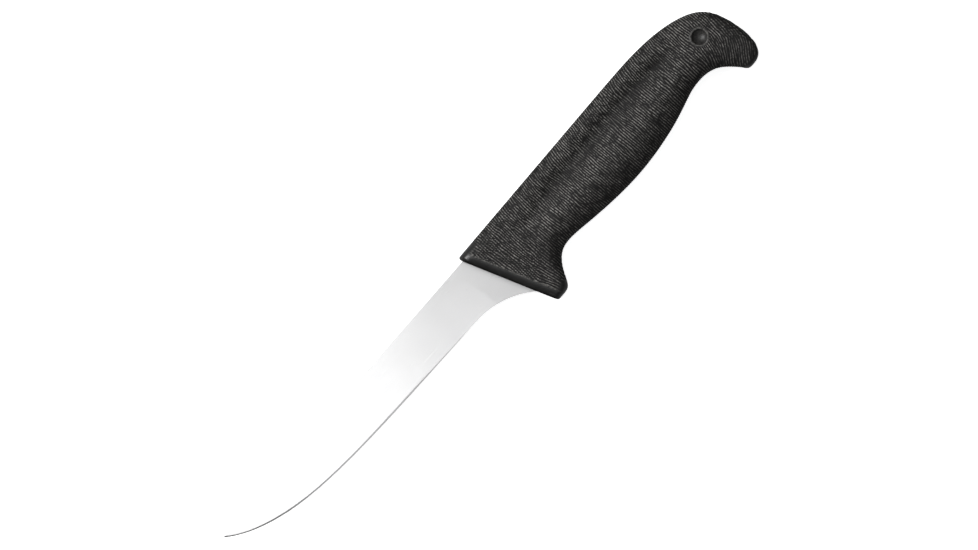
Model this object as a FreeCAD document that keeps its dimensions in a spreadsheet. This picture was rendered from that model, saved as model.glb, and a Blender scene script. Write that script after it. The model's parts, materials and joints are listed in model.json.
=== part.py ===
import FreeCAD, Part
import os

import Sketcher
from FreeCAD import Placement, Rotation, Vector

# A boning knife lying on its side. +X runs from the point of the blade to the butt, +Y is the spine
# side, +Z is up. While it is drawn, the origin is the front corner of the handle at the spine, in the
# middle of the thickness; each piece's Placement then puts the origin under the middle of the knife.

BLADE_SIZES = {
    "steel_thickness": 2.0,
    # Spine: four control points from the point of the blade to the handle.
    "point_x": -152.4,
    "point_spine_y": -0.2,
    "spine_front_x": -118.0,
    "spine_front_y": 0.75,
    "spine_middle_x": -62.0,
    "spine_middle_y": -0.95,
    "spine_back_y": -1.7,
    # Edge: it leaves the point at an angle and flattens towards the heel.
    "point_edge_y": -0.6,
    "point_angle": 45.0,
    "point_leg": 7.0,
    "belly_x": -129.2,
    "belly_y": -16.15,
    "straight_x": -79.4,
    "straight_y": -21.3,
    "heel_x": -15.0,
    "heel_y": -22.4,
    "heel_slope": 3.0,
    "heel_leg": 6.25,
    "heel_radius": 38.0,
    "heel_bottom_y": -36.0,
    # Secondary bevel at the sharpened edge, on each side. The tool that cuts it comes in ahead of the
    # point, leaves the steel below the heel, and clears the steel by its reach and half its height.
    "edge_land": 0.03,
    "bevel_width": 0.75,
    "bevel_depth": 0.2,
    "bevel_lead": 0.8,
    "bevel_runout": 3.2,
    "bevel_reach": 2.4,
    "bevel_tool_half": 1.5,
    # Tang, hidden in the handle.
    "shoulder_x": 16.0,
    "tang_bottom_front_x": 22.0,
    "tang_bottom_y": -22.0,
    "tang_bottom_back_x": 92.0,
    "tang_end_x": 100.0,
    "tang_end_bottom_y": -18.0,
    "tang_end_top_y": -9.5,
    "tang_top_back_x": 92.0,
    "tang_top_y": -5.5,
    "tang_top_front_x": 16.0,
    "tang_hole_radius": 3.0,
    "tang_hole_y": -14.0,
    "first_hole_x": 32.0,
    "hole_pitch": 24.0,
}

# The flat grind, station by station from the handle to the point: place, the heights of the edge and
# of the spine there, and half the steel's thickness at each. It has run out before the handle.
GRIND_STATIONS = {
    "runout": (4.0, -26.0, -1.7, 1.02, 1.02),
    "heel": (-14.0, -22.4, -1.5, 0.7, 1.01),
    "rear": (-32.0, -22.0, -1.3, 0.28, 0.98),
    "full": (-50.0, -21.5, -1.0, 0.22, 0.95),
    "middle": (-85.0, -20.0, -0.5, 0.2, 0.84),
    "belly": (-118.0, -16.2, 0.1, 0.19, 0.68),
    "front": (-138.0, -9.9, 0.1, 0.18, 0.46),
    "point": (-153.0, 0.0, 5.0, 0.17, 0.36),
}

# Control sections of the handle, from its front face to the end of its hook: where each meets the
# spine and the belly, half the thickness of the band along the spine, half the thickness of the palm
# swell, the depth of the finger groove, how far down the section the groove's upper wall lies, and how
# much of the section the rounding at the belly takes, both as shares of its height.
GRIP_STATIONS = {
    "front": (-1.4, 0.45, 12.95, -42.6, 8.8, 9.5, 0.0, 0.17, 0.14),
    "guard": (3.6, 0.45, 16.8, -42.7, 8.6, 9.5, 0.0, 0.17, 0.14),
    "guard_heel": (8.5, 0.45, 20.1, -43.0, 8.3, 9.5, 0.0, 0.17, 0.15),
    "guard_back": (14.0, 0.45, 22.9, -37.0, 7.9, 9.5, 0.0, 0.19, 0.2),
    "root": (20.0, 0.45, 26.8, -32.2, 7.2, 9.4, 0.0, 0.29, 0.28),
    "forefinger": (25.5, 0.45, 30.0, -30.4, 7.0, 9.1, 0.6, 0.38, 0.32),
    "groove_front": (30.5, 0.45, 33.0, -29.6, 7.0, 9.1, 2.2, 0.35, 0.34),
    "index": (38.0, 0.45, 38.5, -29.8, 7.0, 9.4, 2.2, 0.31, 0.36),
    "waist": (50.0, 0.45, 50.0, -32.1, 7.0, 9.9, 2.1, 0.26, 0.36),
    "palm": (73.0, 0.45, 74.0, -35.1, 7.0, 10.5, 2.1, 0.22, 0.36),
    "palm_back": (96.0, 0.45, 96.0, -33.1, 7.0, 9.9, 2.1, 0.23, 0.36),
    "groove_back": (108.5, 0.25, 107.5, -30.5, 7.0, 9.4, 2.2, 0.26, 0.36),
    "groove_end": (116.5, -0.5, 114.2, -28.6, 7.1, 9.0, 2.2, 0.3, 0.35),
    "neck": (122.5, -1.3, 118.7, -28.1, 7.3, 8.8, 0.4, 0.33, 0.34),
    "bend": (131.7, -3.5, 123.9, -28.3, 7.6, 8.5, 0.0, 0.34, 0.33),
    "hook_top": (140.8, -7.5, 128.3, -29.7, 7.8, 8.4, 0.0, 0.34, 0.32),
    "hook": (146.2, -14.1, 131.6, -32.3, 7.9, 8.3, 0.0, 0.34, 0.32),
    "hook_back": (148.4, -25.5, 134.3, -35.6, 7.9, 8.2, 0.0, 0.34, 0.32),
    "hook_low": (148.1, -36.0, 136.8, -38.9, 7.8, 8.0, 0.0, 0.34, 0.32),
    "hook_tip": (145.2, -40.2, 137.4, -41.0, 7.0, 7.2, 0.0, 0.34, 0.3),
    "hook_end": (142.0, -40.8, 140.0, -40.9, 3.4, 3.6, 0.0, 0.34, 0.3),
}

HANDLE_SIZES = {
    # Flat facet on each side behind the front face. The block that cuts it stands proud of the handle
    # in front, above and below, and is cut_height thick.
    "facet_half_thickness": 7.7,
    "facet_angle": 3.6,
    "facet_length": 52.0,
    "facet_front": -5.0,
    "facet_top": 10.0,
    "facet_bottom": -60.0,
    "facet_cut_height": 10.0,
    # Rounded rim of the front face.
    "rim_radius": 1.1,
    # Dimple near the butt, with its raised ring, on each side.
    "dimple_x": 133.9,
    "dimple_y": -16.4,
    "dimple_radius": 3.2,
    "dimple_depth": 2.0,
    "ring_radius": 3.9,
    "ring_top": 8.2,
}

PLACE_SIZES = {
    "shift_x": 2.12,
    "shift_y": 21.11,
    "shift_z": 9.98,
}

GRIND_FIELDS = ("x", "edge_y", "spine_y", "edge_half", "spine_half")
GRIP_FIELDS = (
    "spine_x",
    "spine_y",
    "belly_x",
    "belly_y",
    "band",
    "palm",
    "groove",
    "level",
    "rounding",
)

doc = FreeCAD.newDocument("BoningKnife")


def make_sheet():
    """The spreadsheet of driving dimensions, one aliased cell for each."""
    sizes = {**BLADE_SIZES, **HANDLE_SIZES, **PLACE_SIZES}
    for station, values in GRIND_STATIONS.items():
        sizes.update({f"grind_{station}_{field}": v for field, v in zip(GRIND_FIELDS, values)})
    for station, values in GRIP_STATIONS.items():
        sizes.update({f"grip_{station}_{field}": v for field, v in zip(GRIP_FIELDS, values)})
    sheet = doc.addObject("Spreadsheet::Sheet", "Sizes")
    for row, (alias, value) in enumerate(sizes.items(), start=1):
        sheet.set(f"A{row}", str(value))
        sheet.setAlias(f"A{row}", alias)
    doc.recompute()
    return sheet


def new_body(name):
    body = doc.addObject("PartDesign::Body", name)
    body.Label = name
    doc.recompute()
    return body


def origin_plane(body, role):
    return next(f for f in body.Origin.OriginFeatures if f.Role == role)


def flat_sketch(body, name, height="0"):
    """A sketch lying flat at a height above the knife's middle plane."""
    sketch = body.newObject("Sketcher::SketchObject", name)
    sketch.AttachmentSupport = [(origin_plane(body, "XY_Plane"), "")]
    sketch.MapMode = "FlatFace"
    sketch.setExpression("AttachmentOffset.Base.z", height)
    return sketch


def standing_sketch(body, name, x, y="0", turn="0"):
    """A sketch standing on edge across the knife: its first axis is +Y leant by turn, its second is +Z."""
    sketch = body.newObject("Sketcher::SketchObject", name)
    sketch.AttachmentSupport = [(origin_plane(body, "YZ_Plane"), "")]
    sketch.MapMode = "FlatFace"
    sketch.AttachmentOffset = Placement(Vector(), Rotation(Vector(0, 1, 0), 1))
    sketch.setExpression("AttachmentOffset.Base.x", y)
    sketch.setExpression("AttachmentOffset.Base.z", x)
    sketch.setExpression("AttachmentOffset.Rotation.Angle", turn)
    return sketch


def value_of(sketch, expression):
    value = sketch.evalExpression(expression)
    return float(getattr(value, "Value", value))


def pin(sketch, geometry, end, x, y):
    """Hold a point of the sketch at the place that two expressions give."""
    for kind, expression in (("DistanceX", x), ("DistanceY", y)):
        here = value_of(sketch, expression)
        if expression == "0":
            axis = -2 if kind == "DistanceX" else -1
            sketch.addConstraint(Sketcher.Constraint("PointOnObject", geometry, end, axis))
            continue
        index = sketch.addConstraint(Sketcher.Constraint(kind, -1, 1, geometry, end, here))
        sketch.setExpression(f"Constraints[{index}]", expression)


def points_of(sketch, corners):
    return [Vector(value_of(sketch, x), value_of(sketch, y), 0) for x, y in corners]


def draw_polygon(sketch, corners):
    points = points_of(sketch, corners)
    lines = []
    for start, end in zip(points, points[1:] + points[:1]):
        lines.append(sketch.addGeometry(Part.LineSegment(start, end)))
    for line, following, corner in zip(lines, lines[1:] + lines[:1], corners):
        sketch.addConstraint(Sketcher.Constraint("Coincident", line, 2, following, 1))
        pin(sketch, line, 1, *corner)
    return lines


def draw_spline(sketch, poles):
    """A cubic B-spline whose control points are all pinned."""
    points = points_of(sketch, poles)
    inner = len(points) - 4
    knots = [float(knot) for knot in range(inner + 2)]
    curve = Part.BSplineCurve()
    curve.buildFromPolesMultsKnots(points, [4] + [1] * inner + [4], knots, False, 3)
    spline = sketch.addGeometry(curve)
    circles = []
    for number, point in enumerate(points):
        circle = sketch.addGeometry(Part.Circle(point, Vector(0, 0, 1), 1.0), True)
        inner_point = ("InternalAlignment:Sketcher::BSplineControlPoint", circle, 3, spline, number)
        sketch.addConstraint(Sketcher.Constraint(*inner_point))
        if circles:
            sketch.addConstraint(Sketcher.Constraint("Equal", circles[0], circle))
        else:
            sketch.addConstraint(Sketcher.Constraint("Weight", circle, 1.0))
        circles.append(circle)
    for circle, pole in zip(circles, poles):
        pin(sketch, circle, 3, *pole)
    return spline


EDGE_POLES = [
    ("Sizes.point_x", "Sizes.point_edge_y"),
    (
        "Sizes.point_x + Sizes.point_leg * cos(Sizes.point_angle)",
        "Sizes.point_edge_y - Sizes.point_leg * sin(Sizes.point_angle)",
    ),
    ("Sizes.belly_x", "Sizes.belly_y"),
    ("Sizes.straight_x", "Sizes.straight_y"),
    (
        "Sizes.heel_x - Sizes.heel_leg * cos(Sizes.heel_slope)",
        "Sizes.heel_y + Sizes.heel_leg * sin(Sizes.heel_slope)",
    ),
    ("Sizes.heel_x", "Sizes.heel_y"),
]

# The bevel follows the edge, but it starts ahead of the point and leaves the steel at the heel.
BEVEL_START = (
    "Sizes.point_x - Sizes.bevel_lead * cos(Sizes.point_angle)",
    "Sizes.point_edge_y + Sizes.bevel_lead * sin(Sizes.point_angle)",
)
BEVEL_END = ("Sizes.heel_x", "Sizes.heel_y - Sizes.bevel_runout")
BEVEL_POLES = [BEVEL_START] + EDGE_POLES[1:-1] + [BEVEL_END]

SPINE_POLES = [
    ("Sizes.point_x", "Sizes.point_spine_y"),
    ("Sizes.spine_front_x", "Sizes.spine_front_y"),
    ("Sizes.spine_middle_x", "Sizes.spine_middle_y"),
    ("0", "Sizes.spine_back_y"),
]


def draw_circle(sketch, x, y, radius):
    size = value_of(sketch, radius)
    centre = points_of(sketch, [(x, y)])[0]
    circle = sketch.addGeometry(Part.Circle(centre, Vector(0, 0, 1), size))
    pin(sketch, circle, 3, x, y)
    index = sketch.addConstraint(Sketcher.Constraint("Radius", circle, size))
    sketch.setExpression(f"Constraints[{index}]", radius)


def draw_heel_arc(sketch):
    """The sweep from the edge down into the handle, round a centre below the heel."""
    radius = value_of(sketch, "Sizes.heel_radius")
    centre_x = "Sizes.heel_x - Sizes.heel_radius * sin(Sizes.heel_slope)"
    centre_y = "Sizes.heel_y - Sizes.heel_radius * cos(Sizes.heel_slope)"
    centre = points_of(sketch, [(centre_x, centre_y)])[0]
    circle = Part.Circle(centre, Vector(0, 0, 1), radius)
    heel = points_of(sketch, EDGE_POLES[-1:])[0]
    end_y = value_of(sketch, "Sizes.heel_bottom_y")
    end_x = centre.x + (radius ** 2 - (end_y - centre.y) ** 2) ** 0.5
    end = Vector(end_x, end_y, 0)
    arc = sketch.addGeometry(Part.ArcOfCircle(circle, circle.parameter(end), circle.parameter(heel)))
    pin(sketch, arc, 3, centre_x, centre_y)
    index = sketch.addConstraint(Sketcher.Constraint("DistanceY", -1, 1, arc, 1, end_y))
    sketch.setExpression(f"Constraints[{index}]", "Sizes.heel_bottom_y")
    return arc, end


def draw_blank(body):
    """The stamped blank: blade, heel and tang in one outline."""
    sketch = flat_sketch(body, "blank_outline")
    spine = draw_spline(sketch, SPINE_POLES)
    edge = draw_spline(sketch, EDGE_POLES)
    arc, arc_end = draw_heel_arc(sketch)
    tang = [
        ("Sizes.shoulder_x", "Sizes.heel_bottom_y"),
        ("Sizes.tang_bottom_front_x", "Sizes.tang_bottom_y"),
        ("Sizes.tang_bottom_back_x", "Sizes.tang_bottom_y"),
        ("Sizes.tang_end_x", "Sizes.tang_end_bottom_y"),
        ("Sizes.tang_end_x", "Sizes.tang_end_top_y"),
        ("Sizes.tang_top_back_x", "Sizes.tang_top_y"),
        ("Sizes.tang_top_front_x", "Sizes.tang_top_y"),
    ]
    corners = [arc_end] + points_of(sketch, tang) + points_of(sketch, SPINE_POLES[-1:])
    lines = [sketch.addGeometry(Part.LineSegment(a, b)) for a, b in zip(corners, corners[1:])]
    for line, corner in zip(lines[1:], tang):
        pin(sketch, line, 1, *corner)
    for line, following in zip(lines, lines[1:]):
        sketch.addConstraint(Sketcher.Constraint("Coincident", line, 2, following, 1))
    point = points_of(sketch, [SPINE_POLES[0], EDGE_POLES[0]])
    nose = sketch.addGeometry(Part.LineSegment(*point))
    joins = [
        (nose, 1, spine, 1),
        (nose, 2, edge, 1),
        (arc, 2, edge, 2),
        (lines[0], 1, arc, 1),
        (lines[-1], 2, spine, 2),
    ]
    for join in joins:
        sketch.addConstraint(Sketcher.Constraint("Coincident", *join))
    return sketch


def draw_grind_station(body, station):
    """The steel to take off one side at a station: all that lies outside the line of the grind."""
    size = f"Sizes.grind_{station}_"
    sketch = standing_sketch(body, f"grind_{station}", f"{size}x")
    slope = f"({size}spine_half - {size}edge_half) / ({size}spine_y - {size}edge_y)"
    beyond = 3.0
    outside = 2.5  # more than half the steel's thickness
    low_y = f"{size}edge_y - {beyond}"
    high_y = f"{size}spine_y + {beyond}"
    corners = [
        (low_y, f"{size}edge_half - {beyond} * {slope}"),
        (high_y, f"{size}spine_half + {beyond} * {slope}"),
        (high_y, f"{outside}"),
        (low_y, f"{outside}"),
    ]
    draw_polygon(sketch, corners)
    return sketch


def cut_tang_holes(body):
    """Holes through the tang, which the handle's plastic fills and holds by."""
    holes = flat_sketch(body, "tang_holes")
    for number in range(3):
        hole_x = f"Sizes.first_hole_x + {number} * Sizes.hole_pitch"
        draw_circle(holes, hole_x, "Sizes.tang_hole_y", "Sizes.tang_hole_radius")
    pocket = body.newObject("PartDesign::Pocket", "keying_holes")
    pocket.Profile = holes
    pocket.Midplane = True
    pocket.Type = "ThroughAll"
    doc.recompute()


def cut_grind(body):
    sections = [draw_grind_station(body, station) for station in GRIND_STATIONS]
    grind = body.newObject("PartDesign::SubtractiveLoft", "grind")
    grind.Profile = sections[0]
    grind.Sections = sections[1:]
    doc.recompute()
    return grind


def cut_bevel(body):
    """The sharpened bevel: a slanted tool drawn along the edge, from ahead of the point to the heel."""
    path = flat_sketch(body, "edge_path")
    draw_spline(path, BEVEL_POLES)
    tool = standing_sketch(body, "bevel_tool", *BEVEL_START, "-Sizes.point_angle")
    slope = "Sizes.bevel_depth / Sizes.bevel_width"
    low = "-Sizes.bevel_width"
    corners = [
        (low, "Sizes.edge_land - Sizes.bevel_depth"),
        ("Sizes.bevel_reach", f"Sizes.edge_land + Sizes.bevel_reach * {slope}"),
        ("Sizes.bevel_reach", "Sizes.bevel_tool_half"),
        (low, "Sizes.bevel_tool_half"),
    ]
    draw_polygon(tool, corners)
    bevel = body.newObject("PartDesign::SubtractivePipe", "edge_bevel")
    bevel.Profile = tool
    bevel.Spine = (path, ["Edge1"])
    doc.recompute()
    return bevel


def make_blade():
    body = new_body("blade")
    pad = body.newObject("PartDesign::Pad", "blank")
    pad.Profile = draw_blank(body)
    pad.Midplane = True
    pad.setExpression("Length", "Sizes.steel_thickness")
    doc.recompute()
    cut_tang_holes(body)
    grind = cut_grind(body)
    bevel = cut_bevel(body)
    mirror = body.newObject("PartDesign::Mirrored", "other_side")
    mirror.Originals = [grind, bevel]
    mirror.MirrorPlane = (origin_plane(body, "XY_Plane"), [""])
    body.Tip = mirror
    doc.recompute()
    return body


def grip_section(station):
    """Control points of one closed cross-section of the handle, square to the line of its bend."""
    size = {field: sheet.get(f"grip_{station}_{field}") for field in GRIP_FIELDS}
    spine = Vector(size["spine_x"], size["spine_y"], 0)
    down = Vector(size["belly_x"], size["belly_y"], 0) - spine
    band, palm, groove, level, rounding = (size[field] for field in GRIP_FIELDS[4:])
    # Share of the way from spine to belly, and half the thickness there.
    profile = [
        (0, 0),
        (0, 0.72 * band),
        (0.07, band),
        (level - 0.09, band),
        (level - 0.035, band),
        (level + 0.05, band - groove),
        (level + 0.17, (band + palm) / 2 - 0.3 * groove),
        (1 - rounding, palm),
        (1 - 0.6 * rounding, 0.95 * palm),
        (1 - 0.22 * rounding, 0.76 * palm),
        (1, (0.8 - rounding) * palm),
        (1, 0),
    ]
    near = [spine + down * share + Vector(0, 0, half) for share, half in profile]
    far = [spine + down * share - Vector(0, 0, half) for share, half in profile[-2:0:-1]]
    return near + far


def make_grip_form():
    """The free-form moulding: one smooth surface round the sections, closed by a flat face at each end."""
    rows = [grip_section(station) for station in GRIP_STATIONS]
    around = len(rows[0])
    along = len(rows)
    net = [[row[i] for row in rows] for i in range(around)]
    surface = Part.BSplineSurface()
    surface.buildFromPolesMultsKnots(
        net,
        [1] * (around + 1),
        [4] + [1] * (along - 4) + [4],
        [float(knot) for knot in range(around + 1)],
        [float(knot) for knot in range(along - 2)],
        True,
        False,
        3,
        3,
    )
    side = surface.toShape()
    rims = [edge for edge in side.Edges if edge.isClosed() and not edge.isSeam(side)]
    shell = Part.Shell([side] + [Part.Face(Part.Wire([rim])) for rim in rims])
    shell.sewShape()
    solid = Part.Solid(shell)
    if solid.Volume < 0:
        solid.reverse()
    form = doc.addObject("Part::Feature", "grip_form")
    form.Shape = solid
    return form


FRONT_LEAN = (
    "atan2(Sizes.grip_front_belly_x - Sizes.grip_front_spine_x; "
    "Sizes.grip_front_spine_y - Sizes.grip_front_belly_y)"
)


def cut_facets(body):
    """A flat facet behind the front face on each side, rising slightly towards the palm."""
    sketch = flat_sketch(body, "facet_outline")
    corner = "Sizes.grip_front_spine_x; Sizes.grip_front_spine_y; Sizes.facet_half_thickness"
    sketch.setExpression(
        "AttachmentOffset",
        f"create(<<placement>>; create(<<vector>>; {corner}); "
        f"create(<<rotation>>; {FRONT_LEAN}; -Sizes.facet_angle; 0))",
    )
    corners = [
        ("Sizes.facet_front", "Sizes.facet_top"),
        ("Sizes.facet_length", "Sizes.facet_top"),
        ("Sizes.facet_length", "Sizes.facet_bottom"),
        ("Sizes.facet_front", "Sizes.facet_bottom"),
    ]
    draw_polygon(sketch, corners)
    facet = body.newObject("PartDesign::Pocket", "facet")
    facet.Profile = sketch
    facet.setExpression("Length", "Sizes.facet_cut_height")
    facet.Reversed = True
    doc.recompute()
    mirror = body.newObject("PartDesign::Mirrored", "far_facet")
    mirror.Originals = [facet]
    mirror.MirrorPlane = (origin_plane(body, "XY_Plane"), [""])
    body.Tip = mirror
    doc.recompute()


def round_rim(body):
    """Round the edges of the front face, which is the flat face through the middle of the front section."""
    before = body.Tip
    shape = before.Shape
    middle_x = (sheet.get("grip_front_spine_x") + sheet.get("grip_front_belly_x")) / 2
    middle_y = (sheet.get("grip_front_spine_y") + sheet.get("grip_front_belly_y")) / 2
    middle = Part.Vertex(middle_x, middle_y, 0)
    flats = [face for face in shape.Faces if isinstance(face.Surface, Part.Plane)]
    front = min(flats, key=lambda face: face.distToShape(middle)[0])
    rim = [
        f"Edge{number}"
        for number, edge in enumerate(shape.Edges, start=1)
        if any(edge.isSame(other) for other in front.Edges)
    ]
    fillet = body.newObject("PartDesign::Fillet", "rim")
    fillet.Base = (before, rim)
    fillet.setExpression("Radius", "Sizes.rim_radius")
    doc.recompute()


def add_dimple(body):
    """A blind dimple in a slightly raised ring on each side, near the butt."""
    outline = flat_sketch(body, "ring_outline")
    draw_circle(outline, "Sizes.dimple_x", "Sizes.dimple_y", "Sizes.ring_radius")
    ring = body.newObject("PartDesign::Pad", "ring")
    ring.Profile = outline
    ring.Midplane = True
    ring.setExpression("Length", "2 * Sizes.ring_top")
    doc.recompute()

    bowl_radius = "(Sizes.dimple_radius ^ 2 + Sizes.dimple_depth ^ 2) / (2 * Sizes.dimple_depth)"
    for name, side in (("dimple", "1"), ("far_dimple", "-1")):
        bowl = body.newObject("PartDesign::SubtractiveSphere", name)
        bowl.setExpression("Radius", bowl_radius)
        bowl.setExpression("Placement.Base.x", "Sizes.dimple_x")
        bowl.setExpression("Placement.Base.y", "Sizes.dimple_y")
        bowl.setExpression(
            "Placement.Base.z", f"{side} * (Sizes.ring_top - Sizes.dimple_depth + {bowl_radius})"
        )
        doc.recompute()


def make_handle_body(form):
    body = new_body("handle_body")
    body.BaseFeature = form
    doc.recompute()
    cut_facets(body)
    round_rim(body)
    add_dimple(body)
    return body


def put_in_place(piece):
    """Move a piece so that the origin lies under the middle of the whole knife."""
    for axis in "xyz":
        piece.setExpression(f"Placement.Base.{axis}", f"Sizes.shift_{axis}")


sheet = make_sheet()
blade = make_blade()
grip_form = make_grip_form()
handle_body = make_handle_body(grip_form)
put_in_place(blade)
put_in_place(handle_body)
doc.recompute()

# The handle is moulded over the tang, so the steel's own shape is its cavity, and the plastic fills
# the tang's holes.
handle = doc.addObject("Part::Cut", "handle")
handle.Base = handle_body
handle.Tool = blade
doc.recompute()

for item in doc.Objects:
    if "Invalid" in item.State or "Error" in item.State:
        raise RuntimeError(f"{item.Name} failed: {item.State}")

os.makedirs("parts", exist_ok=True)
for piece in (blade, handle):
    shape = piece.Shape
    if shape.isNull() or not shape.isValid():
        raise RuntimeError(f"{piece.Label} has no valid shape")
    shape.exportStep(f"parts/{piece.Label}.step")
    print(piece.Label, round(shape.Volume, 1), "mm3", len(shape.Solids), "solid", shape.BoundBox)
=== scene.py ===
import json
import math

import bmesh
import bpy
import numpy as np
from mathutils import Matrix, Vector
from mathutils.bvhtree import BVHTree


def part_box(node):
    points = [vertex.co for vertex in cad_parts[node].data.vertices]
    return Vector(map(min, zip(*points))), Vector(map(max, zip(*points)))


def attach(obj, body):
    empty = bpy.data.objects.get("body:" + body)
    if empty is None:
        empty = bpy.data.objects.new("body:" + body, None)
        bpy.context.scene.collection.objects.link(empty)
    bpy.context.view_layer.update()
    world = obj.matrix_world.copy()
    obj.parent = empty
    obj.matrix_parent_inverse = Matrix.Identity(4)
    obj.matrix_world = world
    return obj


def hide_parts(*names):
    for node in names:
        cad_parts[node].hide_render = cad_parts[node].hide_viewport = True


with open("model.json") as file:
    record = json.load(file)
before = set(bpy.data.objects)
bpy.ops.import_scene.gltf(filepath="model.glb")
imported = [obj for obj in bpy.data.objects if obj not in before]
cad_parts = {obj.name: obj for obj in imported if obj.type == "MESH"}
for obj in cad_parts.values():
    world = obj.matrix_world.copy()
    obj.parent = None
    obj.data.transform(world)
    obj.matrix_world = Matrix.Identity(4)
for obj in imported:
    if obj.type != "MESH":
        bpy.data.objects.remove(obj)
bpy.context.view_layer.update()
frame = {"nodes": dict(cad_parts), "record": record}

MM = 0.001
TINY = 1e-12
UP = np.array([0.0, 0.0, 1.0])
SEED = 7

# ---------------------------------------------------------------- places, in metres, from the frame

handle_low, handle_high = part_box("handle")
blade_low, blade_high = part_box("blade")
MIDDLE_Z = (handle_low.z + handle_high.z) / 2

mounts = {mount["name"]: mount for mount in frame["record"]["mounts"]}
FACE_NORMAL = np.array(mounts["guard_face"]["axis"])
FACE_POINT = np.array(mounts["guard_face"]["pos_m"]) * (1, 1, 0) + UP * MIDDLE_Z
# Down the front face, from the spine to the tip of the guard.
FACE_DOWN = np.array([-FACE_NORMAL[1], FACE_NORMAL[0], 0.0])

# The handle's front corner at the spine, from which the handle is measured, found from the grip mount.
CORNER_X = mounts["grip"]["pos_m"][0] - 73 * MM
CORNER_Y = mounts["grip"]["pos_m"][1] + 17 * MM

# ---------------------------------------------------------------- the handle's shape

# Sections behind the front face: the middle of each, in mm from that corner, and its lean in degrees.
SECTIONS = [
    (23.0, -16.0, 11.5),
    (37.0, -14.6, 1.0),
    (49.0, -15.5, 0.0),
    (72.0, -17.0, 0.0),
    (95.0, -16.2, 0.0),
    (107.0, -15.0, -2.0),
    (119.5, -14.6, -8.5),
    (127.0, -15.9, -18.0),
    (133.7, -18.8, -30.0),
    (138.0, -23.5, -42.0),
    (140.6, -29.5, -58.0),
    (141.2, -35.0, -74.0),
]
# The line through the sections is smoothed over this length.
SECTION_BLEND = 9.0 * MM

# The surface's mesh: rows round the handle, close together at the rim, and columns along it.
RIM_ROWS = 10
FIRST_DEPTH = 0.02 * MM
ROW_STEP = 0.19 * MM
CAP_ROWS = 38
COLUMNS = 112
SMOOTH_PASSES = 6

# Rays that find the surface start outside it, and a row's rays aim at a stadium shape inside it.
ABOVE_SPINE = 40.0 * MM
BELOW_BELLY = 30.0 * MM
BELOW_END = 40.0 * MM
RAY_START = 14.0 * MM
STADIUM_RADIUS = 7.0 * MM
STADIUM_SHARE = 0.8

# The smooth band round the front: the radius of the CAD edge, the band's width, how far it falls away
# over that width, its step down from the ribs, and half the distance that the step takes.
RIM_RADIUS = 1.1 * MM
RIM_BAND = 3.5 * MM
RIM_DROP = 1.5 * MM
RIM_STEP = 0.12 * MM
RIM_STEP_HALF = 0.2 * MM
# A painted highlight along the band's inner edge, where the step catches light: half its width, how
# much it adds to the rib attribute, and the share that it takes off the plain one.
EDGE_HIGHLIGHT_HALF = 0.4 * MM
EDGE_HIGHLIGHT_RIB = 0.3
EDGE_HIGHLIGHT_PLAIN = 0.7

# The slot for the tang: middles of its sections, in mm from the corner, and where the rays start.
TANG_STATIONS = (15.9, 22.0, 60.0, 92.0, 99.9)
TANG_MIDDLE = -15.0
TANG_FAR = 60.0 * MM

# The dimple near the butt, on both sides, and the ring round it.
DIMPLE_X = CORNER_X + 133.9 * MM
DIMPLE_Y = CORNER_Y - 16.4 * MM
DIMPLE_RADIUS = 3.35 * MM
DIMPLE_DEPTH = 2.0 * MM
DIMPLE_SEGMENTS = 80
BOWL_STEPS = 24
RING_RADIUS = 4.1 * MM
RING_HEIGHT = 0.16 * MM
RING_STEPS = 10
# The surface round the dimple is measured at one margin outside the ring, by rays from far above, and
# cut away up to another. Only what is further than this from the middle plane is on a broad side.
FIT_MARGIN = 0.4 * MM
FIT_RAY_START = 20.0 * MM
HOLE_MARGIN = 0.3 * MM
BROAD_SIDE = 3.0 * MM

# ---------------------------------------------------------------- the ribs moulded into it

# Their spacing and height, and the size of one clump of them.
RIB_PITCH = 0.99 * MM
RIB_HEIGHT = 0.26 * MM
RIB_CLUMP = 1.15 * MM
RIB_LENGTH = 2.3 * MM
# Each clump is a short wavelet, which differs in pitch, turn and strength, and reaches this far.
WAVELETS = 9000
PITCH_SPREAD = 0.06
TURN_SPREAD = math.radians(4)
WEAKEST = 0.4
STRONGEST = 1.6
REACH_ROWS = 20
REACH_COLUMNS = 9
# The sum of them is evened out and clipped softly.
POWER_FLOOR = 0.05
RIB_SHARPNESS = 1.2
# The ribs are this share as high on the narrow sides as on the broad ones.
SIDE_RIBS = 0.45

# In each pair below, a change starts at the first distance and ends at the second.
# Ribs in the hook turn about a place near its inner corner, and the turn fades out away from it.
FAN_X = 125.0 * MM
FAN_Y = -45.0 * MM
FAN_RADII = (21 * MM, 30 * MM)
FAN_MOST = math.radians(42)
# Ribs in the guard and along the spine's shoulder lean a little: how far below the spine and behind
# the corner each lean starts or ends.
GUARD_LEAN = math.radians(16)
GUARD_BELOW = (26 * MM, 36 * MM)
GUARD_BEHIND = (16 * MM, 26 * MM)
SHOULDER_LEAN = math.radians(13)
SHOULDER_BELOW = (3 * MM, 7 * MM)
SHOULDER_FROM = (14 * MM, 26 * MM)
SHOULDER_TO = (116 * MM, 126 * MM)

# Where the ribs start: behind the rim, above the guard's tip, behind the corner and outside the ring.
RIB_FROM_RIM = (RIM_BAND, RIM_BAND + 0.5 * MM)
RIB_FROM_TIP = (-39.6 * MM, -38.2 * MM)
RIB_FROM_SPINE = (0.8 * MM, 2.4 * MM)
RIB_FROM_CORNER = (6 * MM, 10 * MM)
RIB_FROM_RING = (RING_RADIUS + 0.1 * MM, RING_RADIUS + 0.5 * MM)
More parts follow.
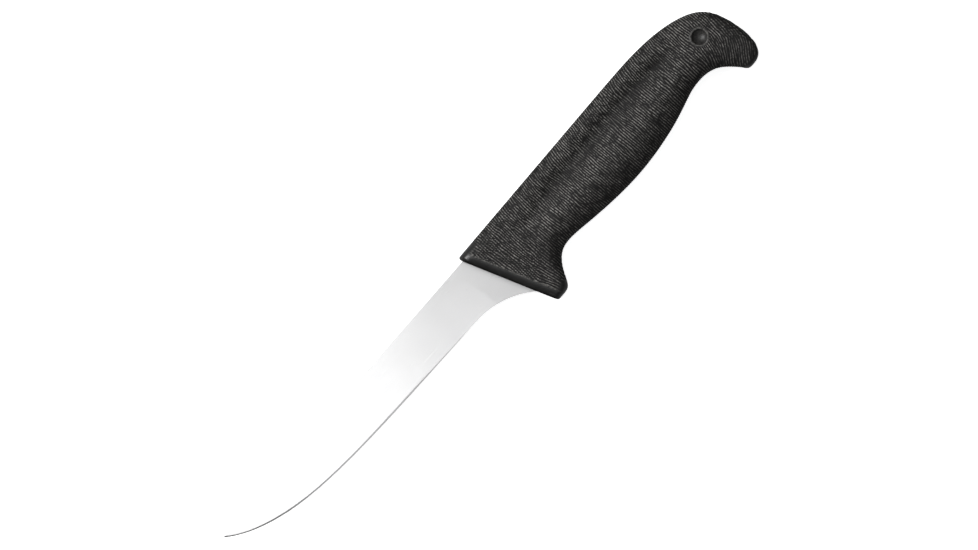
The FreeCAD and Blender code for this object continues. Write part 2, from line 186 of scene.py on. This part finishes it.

# The ribs' tops are painted grey as wear and painted highlight, and painted shade takes the two shares
# below off that, in the thumb groove, and on the belly and in the hook.
GROOVE_Y = -10.8 * MM
GROOVE_HALF = 3.6 * MM
GROOVE_SHADE = 0.5
GROOVE_FROM = (30 * MM, 45 * MM)
GROOVE_TO = (112 * MM, 124 * MM)
BELLY_SHADE = 0.52
BELLY_BELOW = (19 * MM, 27 * MM)
BELLY_FROM = (10 * MM, 26 * MM)
# Painted shade: the narrow sides keep only this share. They are told by how little their normals point
# up or down.
SHADED_SIDE_WEAR = 0.1
SIDE_LIFT = (0.1, 0.42)

# The rib and plain attributes of the dimple's ring and bowl.
RING_LOOK = (0.8, 0.4)
BOWL_LOOK = (0.66, 0.7)

# Edges of the handle's mesh that bend more than this are sharp.
SHARP_ANGLE = math.radians(50)

# ---------------------------------------------------------------- colours, lights and camera

# Each is two tones that a noise mixes.
BLACK = ((0.004, 0.0039, 0.0037), (0.008, 0.0078, 0.0074))
# Crest tones: worn plastic, lightened further as a painted highlight.
WORN_AND_HIGHLIGHT = ((0.19, 0.183, 0.174), (0.33, 0.318, 0.303))
SMOOTH = ((0.008, 0.0078, 0.0076), (0.013, 0.0127, 0.0124))
STEEL = ((0.49, 0.49, 0.495), (0.53, 0.53, 0.53))
PAPER = ((0.90, 0.90, 0.90), (0.92, 0.92, 0.92))
# The noises' scales. The last stretches one into grinding lines along the blade.
MOTTLE_SCALE = 330
SPECK_SCALE = 1300
GRAIN_SCALE = 5200
CLOUD_SCALE = 45
PAPER_SCALE = 30
GRINDING_STRETCH = (60, 9000, 9000)
# The ribs' tops are painted lighter, as wear and as painted highlight, where the rib attribute is above
# the first, in specks of uneven strength.
HIGHLIGHT_AND_WEAR_FROM = 0.54
SPECK_STRENGTH = (0.1, 1.4)
# Specular levels of the plastic: ribbed, then plain.
PLASTIC_SHINE = (0.25, 0.5)
RIBBED_ROUGHNESS = (0.62, 0.76)
PLAIN_ROUGHNESS = 0.32
STEEL_ROUGHNESS = (0.24, 0.36)
# Depth and strength of the finest relief.
GRAIN_BUMP = (0.03 * MM, 0.5)
GRINDING_BUMP = (0.004 * MM, 0.35)
# The camera sees a white studio, while the knife reflects and is lit by a darker one.
DIM_PAPER = (0.35, 0.35, 0.35)
PAPER_GLOW = 0.85
DIM_SKY = 0.12
WHITE_SKY = 1.0

FLOOR_HALF = 6.0
FLOOR_GAP = 0.02 * MM

# Place, aim, width and height in metres, power in watts, and spread in degrees.
LIGHTS = {
    "overhead": ((0.2, 0.5, 1.7), (0.2, 0.5, 0), 1.1, 1.6, 6.1, 180),
    "key": ((-0.45, 0.95, 0.95), (0.0, 0, 0), 0.9, 0.9, 21, 180),
    "blade_softbox": ((-0.32, -0.035, 0.425), (-0.32, -0.035, 0), 0.56, 0.6, 0.155, 42),
    "bevel_card": ((-0.06, -0.30, 0.45), (-0.06, -0.01, 0), 0.25, 0.15, 0.018, 60),
}

CAMERA_AWAY = 3.0
CAMERA_X = 4.2 * MM
CAMERA_Y = 7.3 * MM
CAMERA_TURN = -math.radians(49.66)
CAMERA_CLIP = 20
SENSOR_WIDTH = 36
VIEW_WIDTH = 407 * MM


# ---------------------------------------------------------------- finding the handle's surface

def mesh_tree(piece):
    points = [vertex.co.copy() for vertex in piece.data.vertices]
    faces = [tuple(face.vertices) for face in piece.data.polygons]
    return BVHTree.FromPolygons(points, faces)


def section_line():
    """Middles and leans of the sections, close together, from the front face to the end of the hook."""
    drop = FACE_POINT[1] - (handle_high.y + handle_low.y) / 2
    front = FACE_POINT[:2] - FACE_DOWN[:2] * drop / FACE_DOWN[1]
    front_lean = math.degrees(math.atan2(FACE_DOWN[0], -FACE_DOWN[1]))
    stations = [(front[0], front[1], front_lean)]
    for x, y, lean in SECTIONS:
        stations.append((CORNER_X + x * MM, CORNER_Y + y * MM, lean))
    stations = np.array(stations)
    gaps = np.hypot(np.diff(stations[:, 0]), np.diff(stations[:, 1]))
    along = np.concatenate([[0.0], np.cumsum(gaps)])
    fine = np.linspace(0.0, along[-1], int(along[-1] / ROW_STEP))
    window = int(SECTION_BLEND / ROW_STEP) | 1
    kernel = np.hanning(window + 2)[1:-1]
    kernel = kernel / kernel.sum()
    half = window // 2
    smooth = []
    for column in range(3):
        line = np.interp(fine, along, stations[:, column])
        before = 2 * line[0] - line[half:0:-1]
        after = 2 * line[-1] - line[-2 : -half - 2 : -1]
        smooth.append(np.convolve(np.concatenate([before, line, after]), kernel, mode="valid"))
    return np.array(smooth).T


def stadium(half_length, radius, count):
    """Points and outward normals evenly round a stadium: first coordinate towards the spine, second up."""
    length = 4 * half_length + 2 * math.pi * radius
    arc = math.pi * radius / 2
    points, normals = [], []
    for number in range(count):
        run = length * number / count
        if run < arc or run >= length - arc:
            angle = (run if run < arc else run - length) / radius
            normal = (math.cos(angle), math.sin(angle))
            points.append((half_length + radius * normal[0], radius * normal[1]))
        elif run < arc + 2 * half_length:
            normal = (0.0, 1.0)
            points.append((half_length - (run - arc), radius))
        elif run < 3 * arc + 2 * half_length:
            angle = math.pi / 2 + (run - arc - 2 * half_length) / radius
            normal = (math.cos(angle), math.sin(angle))
            points.append((-half_length + radius * normal[0], radius * normal[1]))
        else:
            normal = (0.0, -1.0)
            points.append((-half_length + (run - 3 * arc - 2 * half_length), -radius))
        normals.append(normal)
    return np.array(points), np.array(normals)


def cast_row(tree, centre, towards_spine, forward, tilt=0.0):
    """One ring of points on the handle. A tilt above 0 turns the ring's rays forward, to close the end."""
    up_hit = tree.ray_cast(Vector(centre + towards_spine * ABOVE_SPINE), Vector(-towards_spine))[0]
    below = BELOW_END if tilt else BELOW_BELLY
    down_hit = tree.ray_cast(Vector(centre - towards_spine * below), Vector(towards_spine))[0]
    if up_hit is None or down_hit is None:
        raise RuntimeError(f"no surface about {centre}")
    middle = (np.array(up_hit) + np.array(down_hit)) / 2
    half = (np.array(up_hit) - np.array(down_hit)) @ towards_spine / 2
    radius = min(STADIUM_RADIUS, STADIUM_SHARE * half)
    shape, normals = stadium((half - radius) * math.cos(tilt), radius, COLUMNS)
    ring = []
    for (share, height), (side, lift) in zip(shape, normals):
        out = towards_spine * side + UP * lift
        base = middle + towards_spine * (share - radius * side) + UP * (height - radius * lift)
        ray = out * math.cos(tilt) + forward * math.sin(tilt)
        hit = tree.ray_cast(Vector(base + ray * (RAY_START + radius)), Vector(-ray))[0]
        ring.append(np.array(hit) if hit is not None else base + ray * radius)
    return np.array(ring)


def handle_rings():
    """The outer surface of the handle, from the edge of its front face to the end of the hook."""
    tree = mesh_tree(frame["nodes"]["handle"])
    line = section_line()
    rings = []
    # The rim's rows lie on planes parallel to the front face.
    depths = [RIM_RADIUS * (1 - math.cos(math.pi / 2 * step / RIM_ROWS)) for step in range(1, RIM_ROWS + 1)]
    for depth in [FIRST_DEPTH] + depths:
        centre = np.array([line[0][0], line[0][1], MIDDLE_Z]) - FACE_NORMAL * depth
        rings.append(cast_row(tree, centre, -FACE_DOWN, -FACE_NORMAL))
    rim_rows = len(rings)
    start = int(RIM_RADIUS / ROW_STEP) + 1
    for x, y, lean in line[start:]:
        angle = math.radians(lean)
        towards_spine = np.array([-math.sin(angle), math.cos(angle), 0.0])
        forward = np.array([math.cos(angle), math.sin(angle), 0.0])
        centre = np.array([x, y, MIDDLE_Z])
        rings.append(cast_row(tree, centre, towards_spine, forward))
    # Tilted rows about the last middle close the end of the hook.
    for step in range(1, CAP_ROWS):
        tilt = math.pi / 2 * step / CAP_ROWS
        rings.append(cast_row(tree, centre, towards_spine, forward, tilt))
    return np.array(rings), rim_rows


def smooth_rings(rings, first):
    """Take the CAD mesh's small facets out of the rings behind the rim."""
    rings = rings.copy()
    for _ in range(SMOOTH_PASSES):
        following = np.roll(rings, -1, axis=0)
        inner = rings[first - 1 : -1] * 0.25 + rings[first:] * 0.5 + following[first:] * 0.25
        inner[-1] = rings[-1]
        inner = (np.roll(inner, 1, axis=1) + 4 * inner + np.roll(inner, -1, axis=1)) / 6
        rings[first:] = inner
    return rings


def ring_normals(rings):
    along = np.gradient(rings, axis=0)
    around = (np.roll(rings, -1, axis=1) - np.roll(rings, 1, axis=1)) / 2
    normals = np.cross(around, along)
    normals /= np.linalg.norm(normals, axis=2, keepdims=True) + TINY
    centres = rings.mean(axis=1, keepdims=True)
    outward = np.sign(((rings - centres) * normals).sum(axis=2).mean())
    return normals * outward


def face_depth(rings):
    """How far behind the front face each point lies."""
    return -(rings - FACE_POINT) @ FACE_NORMAL


def outward_from_middle(normals):
    """The normals turned to lie along the front face, and how much of each points up or down."""
    outward = normals - (normals @ FACE_NORMAL)[..., None] * FACE_NORMAL
    outward /= np.linalg.norm(outward, axis=2, keepdims=True) + TINY
    return outward, outward[..., 2] ** 2


def round_front(rings, outward, broad):
    """Round the smooth band over its whole width, down to the edge that the CAD model has."""
    depth = np.clip(face_depth(rings), 0, None)
    wide = np.clip(1 - depth / RIM_BAND, 0, 1)
    tight = np.clip(1 - depth / RIM_RADIUS, 0, 1)
    drop = RIM_DROP * (1 - np.sqrt(1 - wide ** 2)) - RIM_RADIUS * (1 - np.sqrt(1 - tight ** 2))
    return rings - outward * (np.clip(drop, 0, None) * broad)[..., None]


# ---------------------------------------------------------------- ribs

def fade(value, low, high):
    """0 up to low, 1 from high, and smooth between them."""
    share = np.clip((value - low) / (high - low), 0, 1)
    return share * share * (3 - 2 * share)


def rib_directions(points):
    """The direction square to the ribs: along the handle, turned in the hook, guard and shoulder."""
    x = points[..., 0] - CORNER_X
    y = points[..., 1] - CORNER_Y
    apart = np.hypot(x - FAN_X, y - FAN_Y)
    turn = np.clip(np.arctan2(x - FAN_X, y - FAN_Y), 0, FAN_MOST)
    hook = turn * (1 - fade(apart, *FAN_RADII))
    guard = GUARD_LEAN * fade(-y, *GUARD_BELOW) * (1 - fade(x, *GUARD_BEHIND))
    shoulder = SHOULDER_LEAN * (1 - fade(-y, *SHOULDER_BELOW))
    shoulder *= fade(x, *SHOULDER_FROM) * (1 - fade(x, *SHOULDER_TO))
    lean = guard - hook - shoulder
    return np.stack([np.cos(lean), np.sin(lean), np.zeros_like(lean)], axis=-1)


def rib_heights(rings):
    """Height of the ribs at each vertex, from -1 to 1: short overlapping wavelets that fork and break."""
    random = np.random.default_rng(SEED)
    rows, columns = rings.shape[:2]
    directions = rib_directions(rings)
    total = np.zeros((rows, columns))
    power = np.zeros((rows, columns))
    for _ in range(WAVELETS):
        row = random.integers(rows)
        column = random.integers(columns)
        pitch = RIB_PITCH * (1 + PITCH_SPREAD * random.standard_normal())
        turn = TURN_SPREAD * random.standard_normal()
        phase = random.uniform(0, 2 * math.pi)
        strength = random.uniform(WEAKEST, STRONGEST)
        low, high = max(row - REACH_ROWS, 0), min(row + REACH_ROWS + 1, rows)
        near = np.arange(column - REACH_COLUMNS, column + REACH_COLUMNS + 1) % columns
        apart = rings[low:high, near] - rings[row, column]
        along = apart @ directions[row, column]
        across = (apart ** 2).sum(axis=-1) - along ** 2
        sideways = apart @ np.cross(UP, directions[row, column])
        wave = along * math.cos(turn) + sideways * math.sin(turn)
        envelope = np.exp(-(along / RIB_CLUMP) ** 2 / 2 - across / RIB_LENGTH ** 2 / 2)
        total[low:high, near] += strength * envelope * np.cos(2 * math.pi * wave / pitch + phase)
        power[low:high, near] += envelope ** 2 / 2
    return np.tanh(RIB_SHARPNESS * total / np.sqrt(power + POWER_FLOOR))


def rib_mask(rings):
    """1 where the ribs are, 0 on the rim, the guard's tip, the front of the spine and the dimples."""
    behind_rim = fade(face_depth(rings), *RIB_FROM_RIM)
    above_tip = fade(rings[..., 1] - CORNER_Y, *RIB_FROM_TIP)
    below_spine = fade(CORNER_Y - rings[..., 1], *RIB_FROM_SPINE)
    behind_corner = fade(rings[..., 0] - CORNER_X, *RIB_FROM_CORNER)
    apart = np.hypot(rings[..., 0] - DIMPLE_X, rings[..., 1] - DIMPLE_Y)
    clear = fade(apart, *RIB_FROM_RING)
    return behind_rim * above_tip * np.maximum(below_spine, behind_corner) * clear


def rib_wear_and_shade(rings, flatness):
    """How light the ribs' tops are painted, from 0 to 1: wear and painted highlight, less in painted shade
    in the groove, on the belly and on the narrow sides. Flatness is how much of the normal points up or
    down.
    """
    x = rings[..., 0] - CORNER_X
    y = rings[..., 1] - CORNER_Y
    # Painted shade in the thumb groove and on the belly, and on the narrow sides below.
    groove_shade = np.exp(-((y - GROOVE_Y) / GROOVE_HALF) ** 2)
    groove_shade *= fade(x, *GROOVE_FROM) * (1 - fade(x, *GROOVE_TO))
    belly_shade = fade(-y, *BELLY_BELOW) * fade(x, *BELLY_FROM)
    wear_and_shade = (1 - GROOVE_SHADE * groove_shade) * (1 - BELLY_SHADE * belly_shade)
    return wear_and_shade * (SHADED_SIDE_WEAR + (1 - SHADED_SIDE_WEAR) * fade(flatness, *SIDE_LIFT))


def handle_surface():
    """The finished rings of points, and two attributes of each point.

    The rib attribute is 0.5 at the ribs' mean height and nears 1 on a crest painted lighter as wear
    and painted highlight. Painted shade lowers it in the groove, on the belly and on the narrow sides,
    and a painted highlight raises it along the rim band's inner edge. The plain one is 1 where there
    are no ribs.
    """
    rings, rim_rows = handle_rings()
    unrounded = smooth_rings(rings, rim_rows)
    heights = rib_heights(unrounded)
    mask = rib_mask(unrounded)
    outward, broad = outward_from_middle(ring_normals(unrounded))
    rings = round_front(unrounded, outward, broad)
    normals = ring_normals(rings)
    flatness = np.abs(normals[..., 2])
    wear_and_shade = rib_wear_and_shade(unrounded, flatness)

    depth = face_depth(rings)
    step = fade(depth, RIM_BAND - RIM_STEP_HALF, RIM_BAND + RIM_STEP_HALF) - 1
    flat_on = SIDE_RIBS + (1 - SIDE_RIBS) * flatness
    lift = heights * mask * flat_on * RIB_HEIGHT / 2 + step * RIM_STEP * broad
    # A painted highlight along the rim band's inner edge.
    edge_highlight = np.exp(-((depth - RIM_BAND) / EDGE_HIGHLIGHT_HALF) ** 2) * broad
    rib_values = 0.5 + 0.5 * heights * mask * wear_and_shade + EDGE_HIGHLIGHT_RIB * edge_highlight
    plain_values = (1 - mask) * (1 - EDGE_HIGHLIGHT_PLAIN * edge_highlight)
    return rings + normals * lift[..., None], rib_values, plain_values


# ---------------------------------------------------------------- the handle's mesh

def following_pairs(loop):
    return zip(loop, loop[1:] + loop[:1])


def join_loops(bm, first, second):
    for (near, far), (near_next, far_next) in following_pairs(list(zip(first, second))):
        bm.faces.new((near, near_next, far_next, far))


def slot_sections():
    """Top and bottom of the steel in the handle: at the front face, then square across the tang."""
    tree = mesh_tree(frame["nodes"]["blade"])
    lines = [(Vector(FACE_POINT), -Vector(FACE_DOWN))]
    for x in TANG_STATIONS:
        middle = Vector((CORNER_X + x * MM, CORNER_Y + TANG_MIDDLE * MM, MIDDLE_Z))
        lines.append((middle, Vector((0, 1, 0))))
    sections = []
    for middle, up in lines:
        top = tree.ray_cast(middle + up * TANG_FAR, -up)[0]
        bottom = tree.ray_cast(middle - up * TANG_FAR, up)[0]
        sections.append((top, bottom))
    return sections


def add_slot(bm, rim_loop):
    """The flat front face and the slot in it that the steel fills."""
    half = (blade_high.z - blade_low.z) / 2
    loops = []
    for top, bottom in slot_sections():
        corners = ((top, half), (bottom, half), (bottom, -half), (top, -half))
        loops.append([bm.verts.new((spot.x, spot.y, MIDDLE_Z + side)) for spot, side in corners])
    for first, second in zip(loops, loops[1:]):
        join_loops(bm, first, second)
    bm.faces.new(loops[-1])
    edges = []
    for loop in (rim_loop, loops[0]):
        for vertex, following in following_pairs(loop):
            edges.append(bm.edges.get((vertex, following)) or bm.edges.new((vertex, following)))
    bmesh.ops.triangle_fill(bm, use_beauty=True, edges=edges, normal=Vector(FACE_NORMAL))


def dimple_profile():
    """Radius and height above the surface: up the bowl, then over the ring."""
    bowl = (DIMPLE_RADIUS ** 2 + DIMPLE_DEPTH ** 2) / (2 * DIMPLE_DEPTH)
    lip = (RING_RADIUS - DIMPLE_RADIUS) / 2
    profile = []
    for step in range(1, BOWL_STEPS + 1):
        radius = DIMPLE_RADIUS * step / BOWL_STEPS
        profile.append((radius, bowl - DIMPLE_DEPTH - math.sqrt(bowl ** 2 - radius ** 2)))
    for step in range(1, RING_STEPS + 1):
        angle = math.pi * step / RING_STEPS
        profile.append((DIMPLE_RADIUS + lip * (1 - math.cos(angle)), RING_HEIGHT * math.sin(angle)))
    return profile


def cut_hole(bm, centre, side):
    """Take away the surface under the dimple and its ring. Returns the edges round the hole."""
    hole = RING_RADIUS + HOLE_MARGIN
    inside = [
        v for v in bm.verts
        if (v.co.z - MIDDLE_Z) * side > BROAD_SIDE and (v.co.xy - centre.xy).length < hole
    ]
    bmesh.ops.delete(bm, geom=inside, context="VERTS")
    return [
        e for e in bm.edges
        if e.is_boundary and (e.verts[0].co.xy - centre.xy).length < 2 * hole
        and (e.verts[0].co.z - MIDDLE_Z) * side > BROAD_SIDE
    ]


def add_dimple(bm, side, tree, rib, plain):
    """Set the dimple and its ring into the surface of one side, square to the surface round them."""
    centre = Vector((DIMPLE_X, DIMPLE_Y, MIDDLE_Z))
    circle = []
    for number in range(DIMPLE_SEGMENTS):
        angle = 2 * math.pi * number / DIMPLE_SEGMENTS
        circle.append(Vector((math.cos(angle), math.sin(angle), 0)))

    # The plane that fits the surface just outside the ring.
    fit_radius = RING_RADIUS + FIT_MARGIN
    outside = Vector((0, 0, side * FIT_RAY_START))
    round_it = [tree.ray_cast(centre + way * fit_radius + outside, -outside)[0] for way in circle]
    level = sum(hit.z for hit in round_it) / DIMPLE_SEGMENTS
    slope = sum(((hit.z - level) * way for hit, way in zip(round_it, circle)), Vector())
    slope *= 2 / DIMPLE_SEGMENTS / fit_radius

    boundary = cut_hole(bm, centre, side)
    loops = []
    for radius, height in dimple_profile():
        loop = []
        for way in circle:
            spot = centre + way * radius
            lift = level + slope.dot(way) * radius + side * height
            loop.append(bm.verts.new((spot.x, spot.y, lift)))
        loops.append(loop)
    base = bm.verts.new((centre.x, centre.y, level - side * DIMPLE_DEPTH))
    for first, second in following_pairs(loops[0]):
        bm.faces.new((base, first, second))
    for first, second in zip(loops, loops[1:]):
        join_loops(bm, first, second)
    rim = [bm.edges.get(pair) for pair in following_pairs(loops[-1])]
    bmesh.ops.bridge_loops(bm, edges=boundary + rim)
    for loop in [[base]] + loops:
        on_ring = side * (loop[0].co.z - level) > side * slope.dot(loop[0].co - centre)
        look = RING_LOOK if on_ring else BOWL_LOOK
        for vertex in loop:
            vertex[rib], vertex[plain] = look


def make_handle(material):
    surface, rib_values, plain_values = handle_surface()
    bm = bmesh.new()
    rib = bm.verts.layers.float.new("rib")
    plain = bm.verts.layers.float.new("plain")
    loops = []
    for row, points in enumerate(surface):
        loop = [bm.verts.new(point) for point in points]
        for vertex, rib_value, plain_value in zip(loop, rib_values[row], plain_values[row]):
            vertex[rib] = rib_value
            vertex[plain] = plain_value
        loops.append(loop)
    for first, second in zip(loops, loops[1:]):
        join_loops(bm, first, second)
    end = bm.verts.new(surface[-1].mean(axis=0))
    end[rib] = 0.5
    for vertex, following in following_pairs(loops[-1]):
        bm.faces.new((vertex, following, end))
    add_slot(bm, loops[0])
    tree = mesh_tree(frame["nodes"]["handle"])
    for side in (1, -1):
        add_dimple(bm, side, tree, rib, plain)
    bmesh.ops.recalc_face_normals(bm, faces=bm.faces)
    for face in bm.faces:
        face.smooth = True

    mesh = bpy.data.meshes.new("handle_grip")
    bm.to_mesh(mesh)
    bm.free()
    mesh.materials.append(material)
    mesh.set_sharp_from_angle(angle=SHARP_ANGLE)
    piece = bpy.data.objects.new("handle_grip", mesh)
    bpy.context.scene.collection.objects.link(piece)
    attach(piece, "root")
    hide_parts("handle")


# ---------------------------------------------------------------- materials

def new_material(name):
    material = bpy.data.materials.new(name)
    material.use_nodes = True
    nodes = material.node_tree.nodes
    return material, nodes, material.node_tree.links, nodes["Principled BSDF"]


def noise_node(nodes, links, scale, detail=3.0, stretch=(1, 1, 1)):
    place = nodes.new("ShaderNodeTexCoord")
    mapping = nodes.new("ShaderNodeMapping")
    mapping.inputs["Scale"].default_value = stretch
    noise = nodes.new("ShaderNodeTexNoise")
    noise.inputs["Scale"].default_value = scale
    noise.inputs["Detail"].default_value = detail
    links.new(place.outputs["Object"], mapping.inputs["Vector"])
    links.new(mapping.outputs["Vector"], noise.inputs["Vector"])
    return noise.outputs["Fac"]


def remap(nodes, links, value, low, high, start=0.0, end=1.0):
    """Low where the value is at start, high where it is at end."""
    node = nodes.new("ShaderNodeMapRange")
    node.inputs["From Min"].default_value = start
    node.inputs["From Max"].default_value = end
    node.inputs["To Min"].default_value = low
    node.inputs["To Max"].default_value = high
    links.new(value, node.inputs["Value"])
    return node.outputs["Result"]


def multiply(nodes, links, first, second):
    node = nodes.new("ShaderNodeMath")
    node.operation = "MULTIPLY"
    links.new(first, node.inputs[0])
    links.new(second, node.inputs[1])
    return node.outputs["Value"]


def mix_colour(nodes, links, share, first, second):
    """A mix of two colours, each of them a tuple or another node's output."""
    node = nodes.new("ShaderNodeMix")
    node.data_type = "RGBA"
    links.new(share, node.inputs["Factor"])
    for socket, colour in ((node.inputs[6], first), (node.inputs[7], second)):
        if isinstance(colour, tuple):
            socket.default_value = (*colour, 1)
        else:
            links.new(colour, socket)
    return node.outputs[2]


def bump(nodes, links, height, distance, strength):
    node = nodes.new("ShaderNodeBump")
    node.inputs["Distance"].default_value = distance
    node.inputs["Strength"].default_value = strength
    links.new(height, node.inputs["Height"])
    return node.outputs["Normal"]


def attribute(nodes, name):
    node = nodes.new("ShaderNodeAttribute")
    node.attribute_name = name
    return node.outputs["Fac"]


def handle_plastic():
    """Black, with the ribs' tops painted grey in specks as wear and as painted highlight, and glossier
    where there are no ribs.
    """
    material, nodes, links, shader = new_material("handle_plastic")
    rib = attribute(nodes, "rib")
    plain = attribute(nodes, "plain")
    mottle = noise_node(nodes, links, MOTTLE_SCALE, detail=4)
    mottle = remap(nodes, links, mottle, 0, 1, start=0.35, end=0.65)
    speck = noise_node(nodes, links, SPECK_SCALE)
    speck = remap(nodes, links, speck, *SPECK_STRENGTH, start=0.34, end=0.66)
    crest = multiply(nodes, links, remap(nodes, links, rib, 0, 1, start=HIGHLIGHT_AND_WEAR_FROM), speck)
    black = mix_colour(nodes, links, mottle, *BLACK)
    worn_and_highlight = mix_colour(nodes, links, mottle, *WORN_AND_HIGHLIGHT)
    ribbed = mix_colour(nodes, links, crest, black, worn_and_highlight)
    smooth = mix_colour(nodes, links, mottle, *SMOOTH)
    links.new(mix_colour(nodes, links, plain, ribbed, smooth), shader.inputs["Base Color"])
    grain = noise_node(nodes, links, GRAIN_SCALE, detail=2)
    rough = nodes.new("ShaderNodeMix")
    links.new(plain, rough.inputs["Factor"])
    links.new(remap(nodes, links, grain, *RIBBED_ROUGHNESS), rough.inputs[2])
    rough.inputs[3].default_value = PLAIN_ROUGHNESS
    links.new(rough.outputs[0], shader.inputs["Roughness"])
    links.new(bump(nodes, links, grain, *GRAIN_BUMP), shader.inputs["Normal"])
    links.new(remap(nodes, links, plain, *PLASTIC_SHINE), shader.inputs["Specular IOR Level"])
    return material


def blade_steel():
    """Satin steel, with fine grinding lines along the blade."""
    material, nodes, links, shader = new_material("blade_satin_steel")
    lines = noise_node(nodes, links, 1.0, stretch=GRINDING_STRETCH)
    cloud = noise_node(nodes, links, CLOUD_SCALE)
    links.new(mix_colour(nodes, links, cloud, *STEEL), shader.inputs["Base Color"])
    shader.inputs["Metallic"].default_value = 1.0
    links.new(remap(nodes, links, lines, *STEEL_ROUGHNESS), shader.inputs["Roughness"])
    links.new(bump(nodes, links, lines, *GRINDING_BUMP), shader.inputs["Normal"])
    return material


def floor_paper():
    material, nodes, links, shader = new_material("floor_paper")
    shade = mix_colour(nodes, links, noise_node(nodes, links, PAPER_SCALE, detail=4), *PAPER)
    seen = nodes.new("ShaderNodeLightPath").outputs["Is Camera Ray"]
    links.new(mix_colour(nodes, links, seen, DIM_PAPER, shade), shader.inputs["Base Color"])
    links.new(remap(nodes, links, seen, 0.0, PAPER_GLOW), shader.inputs["Emission Strength"])
    shader.inputs["Emission Color"].default_value = (1, 1, 1, 1)
    shader.inputs["Roughness"].default_value = 0.9
    shader.inputs["Specular IOR Level"].default_value = 0.0
    return material


# ---------------------------------------------------------------- floor, light and camera

def add_floor(material):
    mesh = bpy.data.meshes.new("floor")
    bm = bmesh.new()
    bmesh.ops.create_grid(bm, x_segments=4, y_segments=4, size=FLOOR_HALF)
    bm.to_mesh(mesh)
    bm.free()
    floor = bpy.data.objects.new("floor", mesh)
    bpy.context.scene.collection.objects.link(floor)
    # The ribs' crests on the underside reach a little below the CAD handle.
    floor.location.z = handle_low.z - RIB_HEIGHT / 2 - FLOOR_GAP
    mesh.materials.append(material)


def add_world():
    world = bpy.data.worlds.new("studio")
    bpy.context.scene.world = world
    world.use_nodes = True
    nodes, links = world.node_tree.nodes, world.node_tree.links
    sky = nodes["Background"]
    sky.inputs["Color"].default_value = (1, 1, 1, 1)
    seen = nodes.new("ShaderNodeLightPath").outputs["Is Camera Ray"]
    links.new(remap(nodes, links, seen, DIM_SKY, WHITE_SKY), sky.inputs["Strength"])


def add_lights():
    for name, (place, aim, width, height, power, spread) in LIGHTS.items():
        light = bpy.data.lights.new(name, "AREA")
        light.shape = "RECTANGLE"
        light.size = width
        light.size_y = height
        light.energy = power
        light.spread = math.radians(spread)
        lamp = bpy.data.objects.new(name, light)
        lamp.location = place
        lamp.rotation_euler = (Vector(aim) - Vector(place)).to_track_quat("-Z", "Y").to_euler()
        lamp.visible_camera = False
        bpy.context.scene.collection.objects.link(lamp)


def add_camera():
    """Straight down on the knife, turned so that it lies across the picture, with a long lens."""
    camera = bpy.data.cameras.new("camera")
    camera.sensor_width = SENSOR_WIDTH
    camera.lens = SENSOR_WIDTH * CAMERA_AWAY / VIEW_WIDTH
    camera.clip_end = CAMERA_CLIP
    eye = bpy.data.objects.new("camera", camera)
    eye.location = (CAMERA_X, CAMERA_Y, MIDDLE_Z + CAMERA_AWAY)
    eye.rotation_euler = (0, 0, CAMERA_TURN)
    bpy.context.scene.collection.objects.link(eye)
    bpy.context.scene.camera = eye


bpy.context.scene.view_settings.view_transform = "Standard"
add_camera()
add_world()
add_lights()
add_floor(floor_paper())
make_handle(handle_plastic())
blade = frame["nodes"]["blade"]
blade.data.materials.clear()
blade.data.materials.append(blade_steel())
